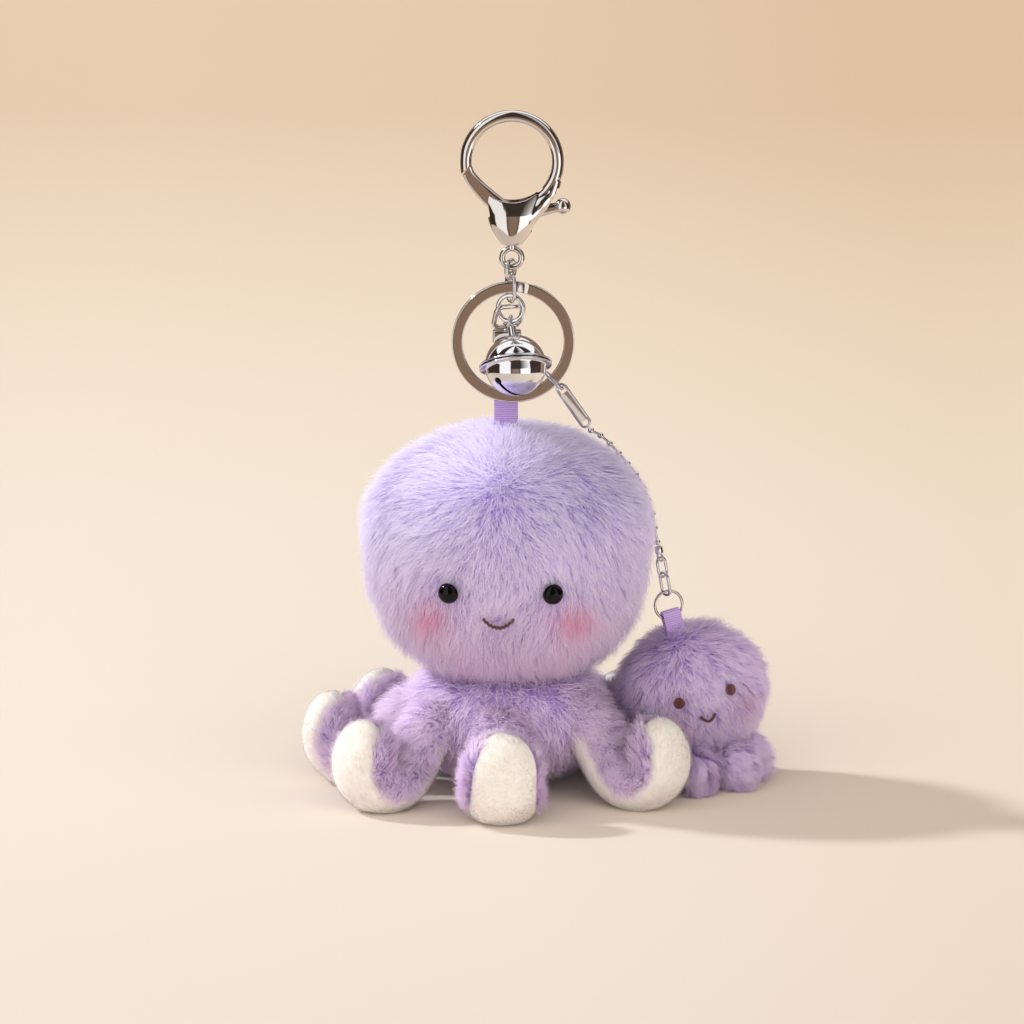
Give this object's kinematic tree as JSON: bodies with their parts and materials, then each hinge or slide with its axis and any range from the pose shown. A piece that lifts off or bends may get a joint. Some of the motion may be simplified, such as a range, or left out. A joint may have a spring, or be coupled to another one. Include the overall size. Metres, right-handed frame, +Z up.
{
  "type": "plush octopus key chain",
  "caption": "Stuffed octopus with curled tentacles and velour soles, on a ribbon strap with a bell, split key ring, swivel clasp and a ball chain that carries a baby octopus.",
  "frame": {"origin": "middle of the box round the part, on the surface it stands on", "axes": "+Z up, -Y to the face of the octopus, +X to its left hand side where the baby hangs"},
  "size_m": [0.1133, 0.091, 0.1697],
  "materials": {
    "plush_fur": "long-pile lilac faux fur",
    "cream_velour": "short-pile cream velour",
    "baby_fur": "short lilac faux fur",
    "ribbon": "woven grosgrain",
    "nickel_plate": "polished nickel plate",
    "chrome_plate": "bright chrome plate",
    "spring_steel": "plain steel",
    "black_eye": "polished",
    "washer_plastic": "moulded",
    "brown_thread": "satin stitch"
  },
  "bodies": {
    "plush": {"head": "plush_fur", "body_hub": "plush_fur", "tentacle_front": "plush_fur", "tentacle_front_left": "plush_fur", "tentacle_left": "plush_fur", "tentacle_back_left": "plush_fur", "tentacle_back": "plush_fur", "tentacle_back_right": "plush_fur", "tentacle_right": "plush_fur", "tentacle_front_right": "plush_fur", "sole_front": "cream_velour", "sole_front_left": "cream_velour", "sole_left": "cream_velour", "sole_back_left": "cream_velour", "sole_back": "cream_velour", "sole_back_right": "cream_velour", "sole_right": "cream_velour", "sole_front_right": "cream_velour", "eye_left": "black_eye", "eye_right": "black_eye", "eye_washer_left": "washer_plastic", "eye_washer_right": "washer_plastic", "mouth_stitch": "brown_thread", "ball_chain": "chrome_plate", "chain_cup": "chrome_plate", "chain_long_link": "chrome_plate", "chain_short_link": "chrome_plate"},
    "strap": {"head_ribbon": "ribbon", "strap_crimp": "nickel_plate", "strap_d_ring": "nickel_plate", "bell_ring": "chrome_plate", "ring_link": "chrome_plate", "chain_jump_ring": "chrome_plate", "chain_hook": "chrome_plate"},
    "key_ring": {"split_key_ring": "nickel_plate"},
    "link": {"clasp_link": "chrome_plate"},
    "eye": {"swivel_eye": "nickel_plate"},
    "clasp": {"clasp_body": "nickel_plate", "gate_pin": "spring_steel", "gate_spring": "spring_steel"},
    "gate": {"clasp_gate": "nickel_plate"},
    "bell": {"bell_upper_shell": "chrome_plate", "bell_lower_shell": "chrome_plate"},
    "pellet": {"bell_pellet": "spring_steel"},
    "baby": {"baby_ring": "nickel_plate", "baby_ribbon": "ribbon", "baby_head": "baby_fur", "baby_eye_left": "brown_thread", "baby_eye_right": "brown_thread", "baby_mouth": "brown_thread", "baby_arm_1": "baby_fur", "baby_arm_2": "baby_fur", "baby_arm_3": "baby_fur", "baby_arm_4": "baby_fur", "baby_arm_5": "baby_fur", "baby_arm_6": "baby_fur", "baby_arm_7": "baby_fur", "baby_arm_8": "baby_fur"}
  },
  "joints": [
    {"name": "strap_fold", "type": "hinge", "parent": "plush", "child": "strap", "pos_m": [-0.00665, 0.0065, 0.093], "axis": [1, 0, 0], "range_deg": [-35, 20], "deforming": ["head_ribbon", "ball_chain"]},
    {"name": "key_ring_turn", "type": "hinge", "parent": "strap", "child": "key_ring", "pos_m": [-0.0049, 0.0015, 0.1123], "axis": [0, 1, 0], "continuous": true},
    {"name": "clasp_link_tilt", "type": "hinge", "parent": "strap", "child": "link", "pos_m": [-0.0055, 0.0015, 0.12945], "axis": [0.4067, -0.9135, 0], "range_deg": [-25, 25]},
    {"name": "eye_tilt", "type": "hinge", "parent": "link", "child": "eye", "pos_m": [-0.0055, 0.0015, 0.13255], "axis": [0.4695, 0.8829, 0], "range_deg": [-20, 20]},
    {"name": "clasp_spin", "type": "hinge", "parent": "eye", "child": "clasp", "pos_m": [-0.0052, 0.0015, 0.136], "axis": [0, 0, 1], "continuous": true},
    {"name": "gate_open", "type": "hinge", "parent": "clasp", "child": "gate", "pos_m": [-0.0052, 0.0015, 0.1436], "axis": [0, 1, 0], "range_deg": [0, 26], "stiffness_Nm_per_rad": 0.02, "springref_deg": -20.05},
    {"name": "bell_swing", "type": "hinge", "parent": "strap", "child": "bell", "pos_m": [-0.0055, 0.0015, 0.11745], "axis": [0.9659, -0.2588, 0], "range_deg": [-35, 0]},
    {"name": "pellet_slide", "type": "slide", "parent": "bell", "child": "pellet", "axis": [-0.0777, 0.454, 0.8876], "range_m": [0, 0.008]},
    {"name": "baby_swing", "type": "hinge", "parent": "plush", "child": "baby", "pos_m": [0.03288, 0.0085, 0.04829], "axis": [0, -1, 0], "range_deg": [0, 30]}
  ]
}
